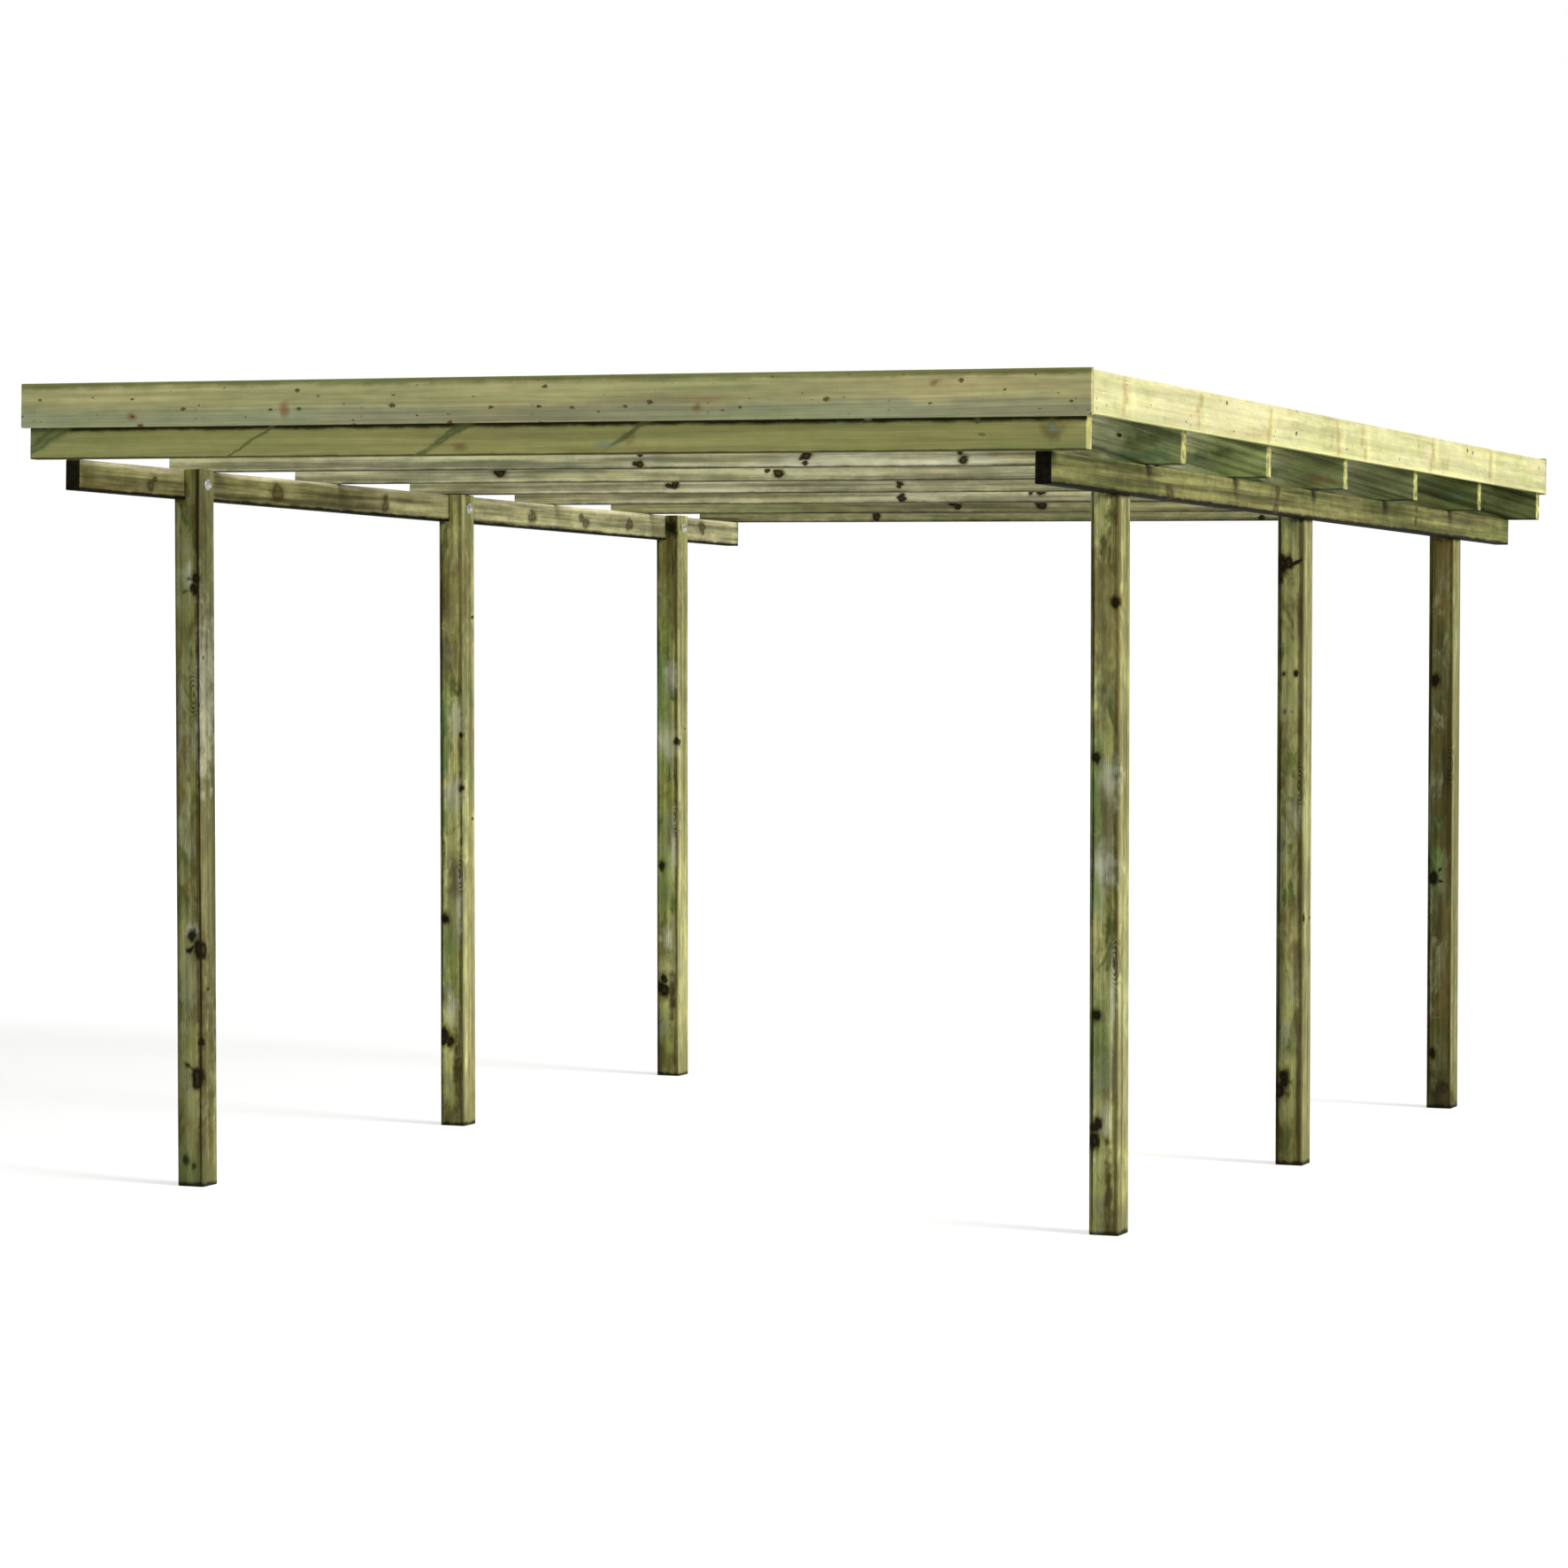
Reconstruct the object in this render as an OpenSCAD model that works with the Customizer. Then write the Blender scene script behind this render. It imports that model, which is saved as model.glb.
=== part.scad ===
// Single carport of pressure-treated softwood: six notched posts, two side beams, seven cross rafters,
// a four-board rim and corrugated roof sheets. The roof plane falls gently to the back.
// +X is to the right, +Y to the back, +Z up. The origin is on the floor, under the middle of the roof.

/* [Overall] */
// Width of the roof over the side rim boards
roof_w = 3300; // [2700:50:4400]
// Length of the roof over the end rim boards, measured along the fall
roof_l = 5000; // [4100:50:6200]
// Height of the front top edge above the floor
total_h = 2420; // [2050:10:3000]
// Fall of the roof to the back, in per cent
roof_fall = 3; // [0:0.5:6]

/* [Posts] */
// Side of the square posts
post_w = 90; // [75:5:120]
// Rounding of the long edges of the posts
post_round = 6; // [2:1:10]
// Distance between post centres along a row
post_spacing = 1800; // [1500:5:2200]
// Depth of the beam seat cut into the outer side of each post
post_notch = 36; // [20:1:48]

/* [Side beams] */
// Thickness of the side beams
beam_t = 50; // [40:1:70]
// Height of the side beams
beam_h = 90; // [75:5:150]
// From the outer face of the rim to the outer face of the beam
beam_inset = 125; // [80:5:260]
// From the end rim boards to the beam ends, less than the thickness of a rafter
beam_end_gap = 25; // [0:5:30]

/* [Rafters] */
// Thickness of the rafters
rafter_t = 45; // [35:1:60]
// Height of the rafters
rafter_h = 145; // [120:5:200]
// Height of rafter that shows below the front rim board
rafter_show = 90; // [60:1:110]

/* [Rim boards] */
// Thickness of the rim boards
board_t = 20; // [15:1:30]
// Height of the front and back rim boards
board_h = 130; // [100:5:180]
// Height of the side rim boards
side_board_h = 120; // [90:5:180]

/* [Roof sheets] */
// Thickness of the roof sheets
sheet_t = 1.5; // [1:0.1:3]
// Height of the corrugation
sheet_rise = 18; // [10:1:30]
// Width of one wave
sheet_pitch = 76; // [60:1:130]
// Least gap between the sheets and the rim boards
sheet_edge_gap = 12; // [5:1:40]

/* [Hidden] */

rafter_count = 7;
lap_gap = 0.3;
past = 400;
post_faces = 48;

// The roof is drawn flat about the middle of its rim, then tipped by fall_angle
fall_angle = atan(roof_fall / 100);
roof_z = total_h - roof_l / 2 * sin(fall_angle) - board_h / 2 * cos(fall_angle);
inner_w = roof_w - 2 * board_t;
inner_l = roof_l - 2 * board_t;

rim_low = -board_h / 2;
rafter_low = rim_low - rafter_show;
rafter_high = rafter_low + rafter_h;
beam_low = rafter_low - beam_h;
beam_out = roof_w / 2 - beam_inset;
beam_in = beam_out - beam_t;
beam_l = inner_l - 2 * beam_end_gap;
post_out = beam_in + post_notch;
rafter_step = (inner_l - rafter_t) / (rafter_count - 1);

// Each wave is a flat valley, a slope, a flat crest and a slope. The middle sheet shares one wave with
// each side sheet
slope_w = 8;
flat_w = sheet_pitch / 2 - slope_w;
roof_waves = floor((inner_w - 2 * sheet_edge_gap - flat_w) / sheet_pitch);
side_waves = ceil((roof_waves + 2) / 3);
middle_waves = roof_waves + 2 - 2 * side_waves;
sheet_l = inner_l - 2 * sheet_edge_gap;

wood = [0.62, 0.60, 0.40];
wood_dark = [0.50, 0.52, 0.32];
wood_light = [0.85, 0.83, 0.58];

// Puts a shape drawn about the middle of the rim in its place on the falling roof
module on_roof() {
    translate([0, 0, roof_z]) rotate([-fall_angle, 0, 0]) children();
}

// Box from its low corner to its high corner
module box(low, high) {
    translate(low) cube(high - low);
}

module rounded_square(side, r) {
    square([side - 2 * r, side], center = true);
    square([side, side - 2 * r], center = true);
    for (x = [-1, 1], y = [-1, 1])
        translate([x, y] * (side / 2 - r)) circle(r, $fn = post_faces);
}

// One post: side is -1 for the left row and 1 for the right, row runs from -1 at the front to 1 at the back
module post(side, row) {
    y = row * post_spacing;
    color(wood_dark) difference() {
        translate([side * (post_out - post_w / 2), y, 0])
            linear_extrude(total_h) rounded_square(post_w, post_round);
        on_roof() {
            // All that is above the underside of the rafters
            translate([-roof_w / 2, y - past, rafter_low]) cube([roof_w, 2 * past, past]);
            // The seat of the beam, open to the outer side
            translate([side > 0 ? beam_in : -roof_w / 2, y - past, beam_low])
                cube([roof_w / 2 - beam_in, 2 * past, past]);
        }
    }
}

// One side beam, parallel to the roof
module beam(side) {
    color(wood) on_roof()
        translate([side * (beam_in + beam_out) / 2, 0, (beam_low + rafter_low) / 2])
            cube([beam_t, beam_l, beam_h], center = true);
}

// One cross rafter, counted from the front, which lies on both beams
module rafter(number) {
    y = -inner_l / 2 + (number - 1) * rafter_step;
    color(wood_dark) on_roof()
        box([-inner_w / 2, y, rafter_low], [inner_w / 2, y + rafter_t, rafter_high]);
}

// Front (end = -1) and back (end = 1) rim boards run over the ends of the side boards
module rim_end(end) {
    color(wood) on_roof()
        translate([0, end * (roof_l - board_t) / 2, 0]) cube([roof_w, board_t, board_h], center = true);
}

module rim_side(side) {
    color(wood_light) on_roof()
        translate([side * (roof_w - board_t) / 2, 0, 0])
            cube([board_t, inner_l, side_board_h], center = true);
}

// Line along a corrugated face, from left to right, with a flat lip at both sides
function sheet_line(waves, up) = [
    [-(waves * sheet_pitch + flat_w) / 2, up],
    for (i = [0 : waves - 1], p = [
        [(flat_w - sheet_pitch) / 2, 0], [-flat_w / 2, sheet_rise], [flat_w / 2, sheet_rise],
        [(sheet_pitch - flat_w) / 2, 0]
    ]) [(i - (waves - 1) / 2) * sheet_pitch + p.x, p.y + up],
    [(waves * sheet_pitch + flat_w) / 2, up]
];
function reversed(list) = [for (i = [len(list) - 1 : -1 : 0]) list[i]];

// One roof sheet: place is -1, 0 or 1 from left to right. The middle one laps over both others
module roof_sheet(place) {
    waves = place == 0 ? middle_waves : side_waves;
    x = place * (roof_waves - side_waves) / 2 * sheet_pitch;
    lift = place == 0 ? sheet_t + lap_gap : 0;
    color([0.82, 0.88, 0.90, 0.6]) on_roof()
        translate([x, sheet_l / 2, rafter_high + lift]) rotate([90, 0, 0]) linear_extrude(sheet_l)
            polygon(concat(sheet_line(waves, 0), reversed(sheet_line(waves, sheet_t))));
}

post(-1, -1);  // post_front_left
post(1, -1);  // post_front_right
post(-1, 0);  // post_middle_left
post(1, 0);  // post_middle_right
post(-1, 1);  // post_back_left
post(1, 1);  // post_back_right
beam(-1);  // beam_left
beam(1);  // beam_right
rafter(1);  // rafter_1_front
rafter(2);  // rafter_2
rafter(3);  // rafter_3
rafter(4);  // rafter_4
rafter(5);  // rafter_5
rafter(6);  // rafter_6
rafter(7);  // rafter_7_back
rim_end(-1);  // rim_front
rim_end(1);  // rim_back
rim_side(-1);  // rim_left
rim_side(1);  // rim_right
roof_sheet(-1);  // roof_sheet_left
roof_sheet(0);  // roof_sheet_middle
roof_sheet(1);  // roof_sheet_right
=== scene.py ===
"""Looks of a timber carport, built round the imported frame. Lengths are metres, in the row's own frame."""

import math
import random

import bmesh
import bpy
from mathutils import Matrix, Vector, noise


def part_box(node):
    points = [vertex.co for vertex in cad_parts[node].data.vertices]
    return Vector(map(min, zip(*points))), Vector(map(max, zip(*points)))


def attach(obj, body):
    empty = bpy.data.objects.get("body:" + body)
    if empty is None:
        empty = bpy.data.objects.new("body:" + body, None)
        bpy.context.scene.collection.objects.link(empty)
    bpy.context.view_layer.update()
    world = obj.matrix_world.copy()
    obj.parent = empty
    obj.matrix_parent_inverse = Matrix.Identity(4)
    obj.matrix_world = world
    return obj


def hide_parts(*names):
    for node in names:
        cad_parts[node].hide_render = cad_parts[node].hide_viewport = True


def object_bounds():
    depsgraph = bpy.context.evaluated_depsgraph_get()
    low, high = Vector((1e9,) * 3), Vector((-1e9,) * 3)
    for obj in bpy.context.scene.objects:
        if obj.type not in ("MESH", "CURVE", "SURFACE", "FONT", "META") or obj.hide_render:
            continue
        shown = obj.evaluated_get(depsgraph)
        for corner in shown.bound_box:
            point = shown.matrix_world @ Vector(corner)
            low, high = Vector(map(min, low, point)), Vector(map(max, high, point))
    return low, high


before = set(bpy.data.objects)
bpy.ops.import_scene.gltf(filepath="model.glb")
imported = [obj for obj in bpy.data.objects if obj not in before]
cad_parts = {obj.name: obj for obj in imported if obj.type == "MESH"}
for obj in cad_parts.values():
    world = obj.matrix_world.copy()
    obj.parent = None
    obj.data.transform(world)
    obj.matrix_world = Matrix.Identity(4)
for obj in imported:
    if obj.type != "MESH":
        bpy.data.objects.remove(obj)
cad_low, cad_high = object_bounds()

SIDES = {"left": -1, "right": 1}
ROWS = ("front", "middle", "back")
RAFTERS = ("rafter_1_front", "rafter_2", "rafter_3", "rafter_4", "rafter_5", "rafter_6", "rafter_7_back")
SHEETS = ("roof_sheet_left", "roof_sheet_middle", "roof_sheet_right")

# Camera: to the right of the entrance, looking in and slightly down
CAMERA_PLACE = (6.053, -15.28, 1.896)
CAMERA_TURN = 22.492
CAMERA_DOWN = 2.506
CAMERA_LENS = 115.79

# Edges and unevenness of the planed timber
POST_ROUND = 0.006
TIMBER_ROUND = 0.0035
BOARD_ROUND = 0.0025
CORNER_STEPS = 4
END_EASE = 0.002
STATION_STEP = 0.12
UNEVEN = 0.0009

# Seed of the first timber of each kind; the others of that kind count on from it
POST_SEED = 11
BEAM_SEED = 31
RAFTER_SEED = 41
END_RIM_SEED = 61
SIDE_RIM_SEED = 65

# Growth of the wood: rings, the distance where there is no branch, and forked branches
RINGS_PER_METRE = 165.0
FAR_FROM_BRANCH = 30.0
FORK_SIZE = 0.0055
FORK_SPREAD = 0.8
FORK_LENGTH = 0.045


def srgb(red, green, blue):
    """A colour given as screen values from 0 to 255, in linear light, with alpha 1."""
    def linear(value):
        value /= 255
        return value / 12.92 if value <= 0.04045 else ((value + 0.055) / 1.055) ** 2.4
    return (linear(red), linear(green), linear(blue), 1.0)


# ---------------- places from the frame

def middle(node):
    low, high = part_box(node)
    return (low + high) / 2


def roof_fall():
    """Angle of the roof below the level towards the back, from the first and the last rafter."""
    span = middle(RAFTERS[-1]) - middle(RAFTERS[0])
    return math.atan2(-span.z, span.y)


FALL = roof_fall()
TIP = Matrix.Rotation(-FALL, 4, "X")
ROOF_ALONG = TIP.to_3x3() @ Vector((0, 1, 0))
ROOF_UP = TIP.to_3x3() @ Vector((0, 0, 1))


def roof_size(node):
    """Size of a piece that lies square to the roof: across, along the fall, and square to the roof."""
    low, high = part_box(node)
    across, along, up = high - low
    cosine, sine = math.cos(FALL), math.sin(FALL)
    square = cosine ** 2 - sine ** 2
    return Vector((across, (along * cosine - up * sine) / square, (up * cosine - along * sine) / square))


def axes(x, y, z, place):
    """Matrix whose columns are a piece's own axes, with its own origin at place."""
    turned = Matrix((x, y, z)).transposed().to_4x4()
    turned.translation = place
    return turned


def across_roof(node):
    """Piece whose length runs across the roof."""
    return axes(Vector((1, 0, 0)), ROOF_ALONG, ROOF_UP, middle(node))


def along_roof(node):
    """Piece whose length runs down the fall."""
    return axes(ROOF_ALONG, Vector((-1, 0, 0)), ROOF_UP, middle(node))


# ---------------- meshes

def add_mesh(name, made, matrix):
    """Turns a bmesh into an object with sharp edges where its faces turn by more than 35 degrees."""
    bmesh.ops.recalc_face_normals(made, faces=made.faces)
    for face in made.faces:
        face.smooth = True
    for edge in made.edges:
        edge.smooth = len(edge.link_faces) == 2 and edge.calc_face_angle(0) < math.radians(35)
    mesh = bpy.data.meshes.new(name)
    made.to_mesh(mesh)
    made.free()
    piece = bpy.data.objects.new(name, mesh)
    bpy.context.scene.collection.objects.link(piece)
    piece.matrix_world = matrix
    return piece


def skin(made, rings):
    """Joins the rings of vertices one after the other with faces, and closes the first and the last."""
    for lower, upper in zip(rings, rings[1:]):
        for i in range(len(lower)):
            j = (i + 1) % len(lower)
            made.faces.new((lower[i], lower[j], upper[j], upper[i]))
    made.faces.new(rings[0])
    made.faces.new(rings[-1])


def section_ring(box, radius):
    """Points round a rectangle with rounded corners, box being its low and high y and z."""
    y0, y1, z0, z1 = box
    corners = ((y1, z1, 0), (y0, z1, 90), (y0, z0, 180), (y1, z0, 270))
    ring = []
    for y, z, start in corners:
        turn = [math.radians(start + 90 * i / CORNER_STEPS) for i in range(CORNER_STEPS + 1)]
        inward_y = -1 if y == y1 else 1
        inward_z = -1 if z == z1 else 1
        for a in turn:
            ring.append((y + radius * (inward_y + math.cos(a)), z + radius * (inward_z + math.sin(a))))
    return ring


def uneven_box(box, x, seed):
    """The section at x, with each face drawn in by a slow, small amount."""
    waves = [noise.noise(Vector((x * 1.7, seed * 3.1, side * 7.9))) for side in range(4)]
    amounts = [UNEVEN * (0.5 + 0.5 * wave) for wave in waves]
    y0, y1, z0, z1 = box
    return (y0 + amounts[0], y1 - amounts[1], z0 + amounts[2], z1 - amounts[3])


def timber_stations(spans, slope):
    """The places of a timber's rings along it: (x, section, how far it is drawn in, slope of the ring)."""
    stations = []
    for number, (first, last, section) in enumerate(spans):
        opening = END_EASE if number == 0 else 0.0
        closing = END_EASE if number == len(spans) - 1 else 0.0
        start_slope = 0.0 if number == 0 else slope
        if opening:
            stations.append((first, section, opening, 0.0))
        count = max(1, round((last - first) / STATION_STEP))
        for i in range(count + 1):
            x = first + opening + (last - closing - first - opening) * i / count
            tip = slope if i == count else (start_slope if i == 0 else 0.0)
            stations.append((x, section, 0.0, tip))
        if closing:
            stations.append((last, section, closing, slope))
    return stations


def timber(name, matrix, spans, radius, seed, slope=0.0):
    """A planed timber along its own X. spans are (from, to, section) from its start to its end, a section
    being low and high y and z. slope tips every end but the first, along z."""
    made = bmesh.new()
    rings = []
    for x, section, inset, tip in timber_stations(spans, slope):
        y0, y1, z0, z1 = uneven_box(section, x, seed)
        ring = section_ring((y0 + inset, y1 - inset, z0 + inset, z1 - inset), max(radius - inset, 0.0005))
        rings.append([made.verts.new((x - tip * z, y, z)) for y, z in ring])
    skin(made, rings)
    return add_mesh(name, made, matrix)


def roof_board(node, kind, down_fall, radius, seed):
    """A timber for a node square to the roof, down its fall or across it, and half its section."""
    size = roof_size(node)
    length, thickness = (size.y, size.x) if down_fall else (size.x, size.y)
    half = (thickness / 2, size.z / 2)
    matrix = along_roof(node) if down_fall else across_roof(node)
    spans = [(-length / 2, length / 2, (-half[0], half[0], -half[1], half[1]))]
    return timber(f"{node}_{kind}", matrix, spans, radius, seed), half


def lathe(made, place, normal, profile, steps, lift=0.0):
    """Adds a turned shape to made: profile is (radius, height) from its foot to its top, along normal, and
    lift moves it along normal."""
    normal = Vector(normal)
    turn = normal.to_track_quat("Z", "Y").to_matrix()
    start = Vector(place) + normal * lift
    angles = [2 * math.pi * i / steps for i in range(steps)]
    rings = []
    for radius, height in profile:
        ring = [turn @ Vector((radius * math.cos(a), radius * math.sin(a), height)) + start for a in angles]
        rings.append([made.verts.new(p) for p in ring])
    skin(made, rings)


# ---------------- shader nodes

class Graph:
    """Small helpers that add nodes to one material and return their output sockets."""

    def __init__(self, name):
        self.material = bpy.data.materials.new(name)
        self.material.use_nodes = True
        self.tree = self.material.node_tree
        self.shader = self.tree.nodes["Principled BSDF"]

    def node(self, kind, inputs=(), **settings):
        made = self.tree.nodes.new(kind)
        for key, value in settings.items():
            setattr(made, key, value)
        for key, value in (inputs.items() if isinstance(inputs, dict) else enumerate(inputs)):
            self.put(made.inputs[key], value)
        return made

    def put(self, socket, value):
        if isinstance(value, bpy.types.NodeSocket):
            self.tree.links.new(value, socket)
        else:
            socket.default_value = value

    def math(self, operation, *values, clamp=False):
        return self.node("ShaderNodeMath", values, operation=operation, use_clamp=clamp).outputs[0]

    def plus(self, *values):
        return self.math("ADD", *values)

    def minus(self, *values):
        return self.math("SUBTRACT", *values)

    def times(self, *values):
        return self.math("MULTIPLY", *values)

    def vector(self, operation, *values):
        made = self.node("ShaderNodeVectorMath", values, operation=operation)
        return made.outputs["Value" if operation in ("DOT_PRODUCT", "LENGTH") else "Vector"]

    def scaled(self, vector, factor):
        made = self.node("ShaderNodeVectorMath", (vector,), operation="SCALE")
        self.put(made.inputs["Scale"], factor)
        return made.outputs["Vector"]

    def split(self, vector):
        return self.node("ShaderNodeSeparateXYZ", (vector,)).outputs

    def join(self, *parts):
        return self.node("ShaderNodeCombineXYZ", parts).outputs[0]

    def noise(self, vector, detail, roughness=0.5, distortion=0.0, colour=False):
        made = self.node("ShaderNodeTexNoise", {"Vector": vector, "Scale": 1.0, "Detail": detail,
                                                "Roughness": roughness, "Distortion": distortion})
        return made.outputs["Color" if colour else "Fac"]

    def steps(self, value, low, high, to_low=0.0, to_high=1.0):
        """Smooth change from to_low at low to to_high at high."""
        return self.node("ShaderNodeMapRange", (value, low, high, to_low, to_high),
                         interpolation_type="SMOOTHSTEP").outputs[0]

    def mix(self, factor, first, second, blend="MIX"):
        made = self.node("ShaderNodeMix", data_type="RGBA", blend_type=blend)
        for socket, value in zip((made.inputs[0], made.inputs[6], made.inputs[7]), (factor, first, second)):
            self.put(socket, value)
        return made.outputs[2]


class Wood(Graph):
    """Softwood as a solid, in its piece's own coordinates: the grain runs along X, and pith is the y and z of
    the pith. With a sweep (x, slope), the grain slants past x."""

    def __init__(self, name, seed, pith, sweep):
        super().__init__(name)
        self.own = self.node("ShaderNodeTexCoord").outputs
        self.place = self.own["Object"]
        self.moved = self.vector("ADD", self.place, (seed * 7.31, seed * 3.17, seed * 5.71))
        if sweep:
            past = self.minus(self.split(self.place)[0], sweep[0])
            rise = self.times(self.math("MAXIMUM", past, 0.0), sweep[1])
            self.moved = self.vector("ADD", self.moved, self.join(0.0, 0.0, rise))
        self.fibre = self.grain((6, 300, 300), roughness=0.65)
        self.streak = self.grain((1.1, 44, 44), roughness=0.6)
        self.patch = self.grain((1.0, 8, 8), roughness=0.55, distortion=0.3)
        self.stain = self.grain((0.9, 17, 17), detail=4, roughness=0.6, distortion=0.2)
        self.mottle = self.grain((14, 34, 34), detail=4, roughness=0.65)
        self.find_pith(pith)

    def grain(self, scale, detail=3, **settings):
        """Noise that is stretched by scale, and differs from piece to piece."""
        return self.noise(self.vector("MULTIPLY", self.moved, scale), detail=detail, **settings)

    def spread(self, value, amount):
        """A value from 0 to 1, spread evenly to both sides of 0 over amount."""
        return self.times(self.minus(value, 0.5), amount)

    def drift(self, scale, reach, **settings):
        """An offset that wanders evenly to both sides of 0, over reach."""
        offset = self.vector("SUBTRACT", self.grain(scale, colour=True, **settings), (0.5, 0.5, 0.5))
        return self.vector("MULTIPLY", offset, reach)

    def find_pith(self, pith):
        """Place relative to the pith, which wanders slowly along the piece, and the distance from it."""
        wander = self.drift((0.9, 2.0, 2.0), (0.0, 0.02, 0.02), detail=2)
        straight = self.vector("SUBTRACT", self.place, (0.0, pith[0], pith[1]))
        self.centred = self.vector("ADD", straight, wander)
        self.radius = self.vector("LENGTH", self.vector("MULTIPLY", self.centred, (0.0, 1.0, 1.0)))

    def branch(self, bent, at, degrees, size, lean, length):
        """Distance from a branch that starts thin at the pith and widens, in radii of that branch."""
        angle = math.radians(degrees)
        way = Vector((lean, math.cos(angle), math.sin(angle))).normalized()
        rel = self.vector("SUBTRACT", bent, (at, 0.0, 0.0))
        out = self.vector("DOT_PRODUCT", rel, tuple(way))
        off = self.vector("LENGTH", self.vector("SUBTRACT", rel, self.scaled(tuple(way), out)))
        before = self.times(out, -400.0)
        beyond = self.math("MULTIPLY_ADD", out, 90.0, -90 * length)
        outside = self.math("MAXIMUM", self.math("MAXIMUM", before, beyond), 0.0)
        wide = self.math("MULTIPLY_ADD", out, 0.75 * size / length, 0.4 * size)
        wide = self.math("MAXIMUM", wide, 0.4 * size)
        return self.plus(self.math("DIVIDE", off, wide), outside)

    def find_branches(self, knots, spots):
        """Distance to the nearest branch, in its radii. knots are (place along the piece, degrees round the
        pith, radius, lean along the piece, length). spots are (x, y, z, radius), and with y None they go
        straight through the piece."""
        bend = self.drift((20, 26, 26), (0.026, 0.018, 0.018), roughness=0.55)
        bent = self.vector("ADD", self.centred, bend)
        bent_place = self.vector("ADD", self.place, bend)
        near = FAR_FROM_BRANCH
        for knot in knots:
            near = self.math("MINIMUM", near, self.branch(bent, *knot))
        for x, y, z, size in spots:
            keep = (0.75 / size, 0.0 if y is None else 1 / size, 1 / size)
            rel = self.vector("MULTIPLY", self.vector("SUBTRACT", bent_place, (x, y or 0.0, z)), keep)
            near = self.math("MINIMUM", near, self.vector("LENGTH", rel))
        ragged = self.grain((80, 80, 80), roughness=0.6)
        self.near = self.plus(near, self.spread(ragged, 1.0))
        self.core = self.steps(self.near, 1.4, 0.8)
        self.bark = self.times(self.steps(self.near, 2.0, 1.1), self.steps(self.near, 0.4, 0.9))

    def grow_rings(self, swirl):
        """Late wood of the growth rings, which swell round a branch and waver along the piece. At a swirl
        (x, y) they close into ovals and are livelier."""
        waver = self.grain((1.5, 10, 10), roughness=0.5)
        grown = self.math("MULTIPLY_ADD", waver, 0.016, self.radius)
        grown = self.math("MULTIPLY_ADD", self.steps(self.near, 5.0, 0.8), 0.008, grown)
        self.lively = 1.0
        if swirl:
            rel = self.vector("SUBTRACT", self.place, (swirl[0], swirl[1], 0.0))
            away = self.vector("LENGTH", self.vector("MULTIPLY", rel, (9.0, 34.0, 0.0)))
            inside = self.steps(away, 1.0, 0.0)
            grown = self.math("MULTIPLY_ADD", inside, 0.04, grown)
            self.lively = self.math("MULTIPLY_ADD", self.steps(inside, 0.05, 0.5), 2.4, 1.0)
        ring = self.math("FRACT", self.times(grown, RINGS_PER_METRE))
        self.late = self.times(self.steps(ring, 0.25, 0.88), self.steps(ring, 1.0, 0.93))

    def lay(self, amount, tint):
        """Lays a tint over the colour so far."""
        self.colour = self.mix(amount, self.colour, tint)

    def treat(self, palette, blots, knot_amount):
        """The light, green and brown tone of the treated wood, clouds all over it, and pale wood round the
        branches."""
        light, green, brown = palette
        self.colour = self.mix(self.steps(self.patch, 0.36, 0.64), green, light)
        self.lay(self.steps(self.stain, 0.50, 0.72, 0.0, 0.7), brown)
        for number, (tint, amount) in enumerate(blots):
            cloud = self.vector("MULTIPLY_ADD", self.moved, (6, 16, 16), (0.0, 9.7 * number + 4.0, 0.0))
            cloud = self.noise(cloud, detail=4, roughness=0.65, distortion=0.4)
            self.lay(self.steps(cloud, 0.49, 0.62, 0.0, amount), tint)
        pale_ring = self.times(self.steps(self.near, 8.0, 3.5), self.steps(self.near, 1.5, 3.2))
        self.lay(self.times(pale_ring, 0.6 * knot_amount), light)

    def lay_bands(self, bands):
        """Bands are (axis, middle, reach, colour, amount, evenness)."""
        broken = self.grain((1.8, 0.6, 0.6), roughness=0.6)
        for axis, centre, reach, tint, amount, even in bands:
            away = self.math("ABSOLUTE", self.minus(self.split(self.place)[axis], centre))
            away = self.plus(away, self.spread(self.mottle, min(0.8 * reach, 0.03)))
            away = self.plus(away, self.spread(broken, 3.0 * reach * (1 - even)))
            self.lay(self.steps(away, 0.3 * reach, reach, amount, 0.0), tint)

    def lay_tints(self, tints):
        """Tints are (place, reach, colour, amount) of single marks."""
        edgy = self.spread(self.grain((30, 40, 40), detail=4), 1.6)
        for at, reach, tint, amount in tints:
            rel = self.vector("SUBTRACT", self.place, at)
            rel = self.vector("MULTIPLY", rel, tuple(1 / part for part in reach))
            away = self.plus(self.vector("LENGTH", rel), edgy)
            self.lay(self.steps(away, 0.1, 1.05, amount, 0.0), tint)

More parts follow.
